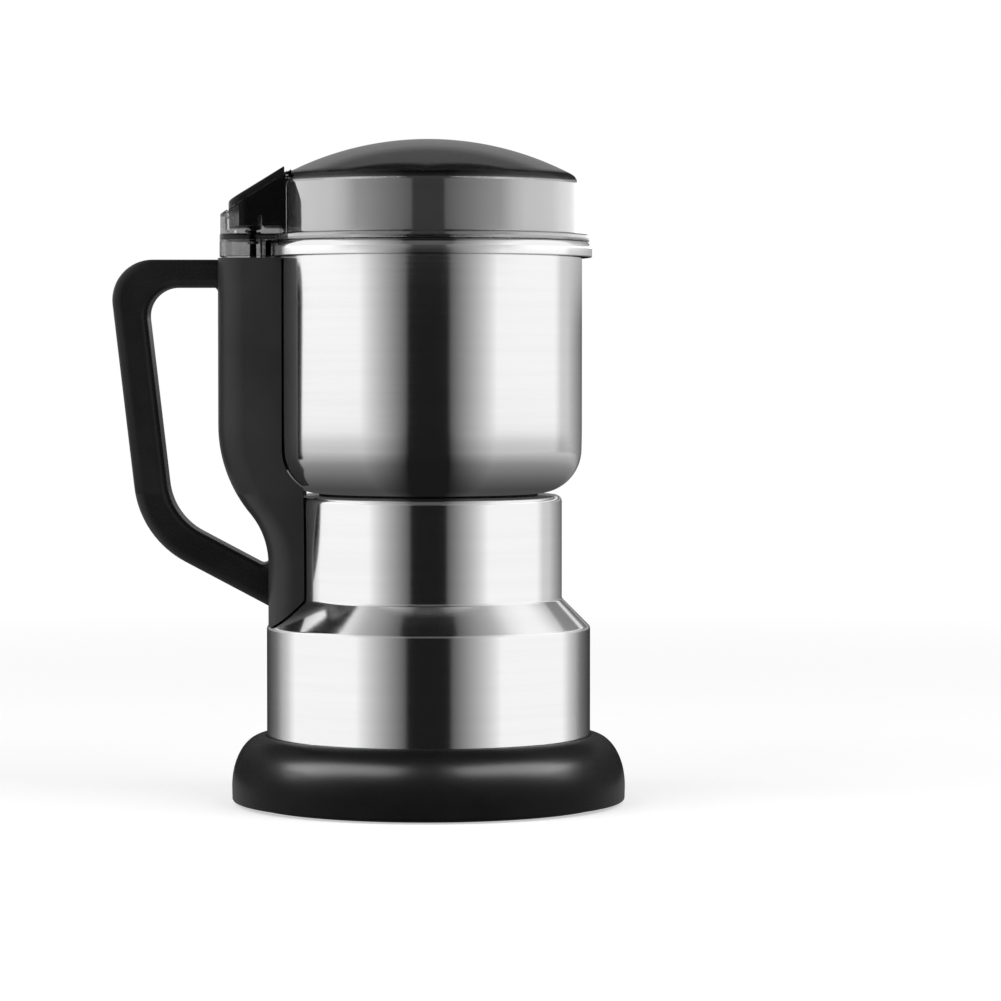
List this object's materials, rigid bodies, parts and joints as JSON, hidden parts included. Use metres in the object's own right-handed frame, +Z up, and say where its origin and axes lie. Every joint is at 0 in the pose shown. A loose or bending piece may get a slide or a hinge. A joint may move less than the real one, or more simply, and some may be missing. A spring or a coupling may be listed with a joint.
{
  "type": "electric coffee grinder",
  "caption": "Electric coffee grinder: stepped steel motor body on a black foot, steel bowl with a blade, smoked domed lid with a push button, and a side column with a grip loop.",
  "frame": {"origin": "on the motor axis at the table, at the centre of the rubber ring's underside", "axes": "+Z up along the motor axis, -X towards the handle, -Y towards the viewer of the picture"},
  "size_m": [0.153, 0.1195, 0.1989],
  "materials": {
    "black_gloss": "glossy black moulded plastic",
    "black_matte": "plain black plastic",
    "stainless": "polished stainless sheet",
    "smoke": "clear smoked plastic",
    "rubber": "matt black rubber",
    "screw_steel": "plated steel",
    "spring_steel": "bright spring wire",
    "blade_steel": "ground stainless",
    "lamination": "stacked steel sheet",
    "copper": "enamelled copper",
    "bracket_alloy": "die-cast alloy",
    "bronze": "sintered bronze and brass",
    "carbon": "pressed carbon",
    "red_plastic": "moulded plastic",
    "lead_sheath": "insulated lead"
  },
  "bodies": {
    "grinder": {"foot_base": "black_gloss", "handle_column": "black_gloss", "handle_grip": "black_gloss", "bottom_cover": "black_matte", "column_cap": "black_matte", "switch_body": "black_matte", "body_shell": "stainless", "bowl": "stainless", "foot_ring": "rubber", "cord_bush": "rubber", "bowl_gasket": "rubber", "shaft_seal": "rubber", "cover_screws": "screw_steel", "shell_screws": "screw_steel", "bowl_screws": "screw_steel", "grip_screws": "screw_steel", "column_screws": "screw_steel", "switch_screws": "screw_steel", "motor_bolts": "screw_steel", "brush_springs": "spring_steel", "stator_core": "lamination", "field_coils": "copper", "top_bracket": "bracket_alloy", "lower_bracket": "bracket_alloy", "upper_bearing": "bronze", "lower_bearing": "bronze", "brush_holders": "bronze", "switch_terminals": "bronze", "carbon_brushes": "carbon", "switch_leads": "lead_sheath"},
    "rotor": {"motor_shaft": "blade_steel", "blade": "blade_steel", "blade_washer": "screw_steel", "blade_nut": "screw_steel", "armature_core": "lamination", "armature_windings": "copper", "commutator": "copper", "cooling_fan": "black_matte"},
    "lid": {"lid_cover": "smoke", "button_spring": "spring_steel"},
    "button": {"press_button": "black_gloss", "button_stem": "black_matte", "stem_clip": "screw_steel"},
    "plunger": {"switch_plunger": "red_plastic"}
  },
  "joints": [
    {"name": "lid_lift", "type": "slide", "parent": "grinder", "child": "lid", "axis": [0, 0, 1], "range_m": [0, 0.06]},
    {"name": "button_press", "type": "slide", "parent": "lid", "child": "button", "axis": [0, 0, -1], "range_m": [0, 0.0022], "stiffness_N_per_m": 700, "springref_m": -0.003, "deforming": ["button_spring"]},
    {"name": "switch_press", "type": "slide", "parent": "grinder", "child": "plunger", "axis": [0, 0, -1], "range_m": [0, 0.0022]},
    {"name": "blade_spin", "type": "hinge", "parent": "grinder", "child": "rotor", "pos_m": [0, 0, 0.1], "axis": [0, 0, 1], "continuous": true}
  ],
  "couplings": [
    {"joint": "switch_press", "follows": "button_press", "ratio": 1}
  ]
}
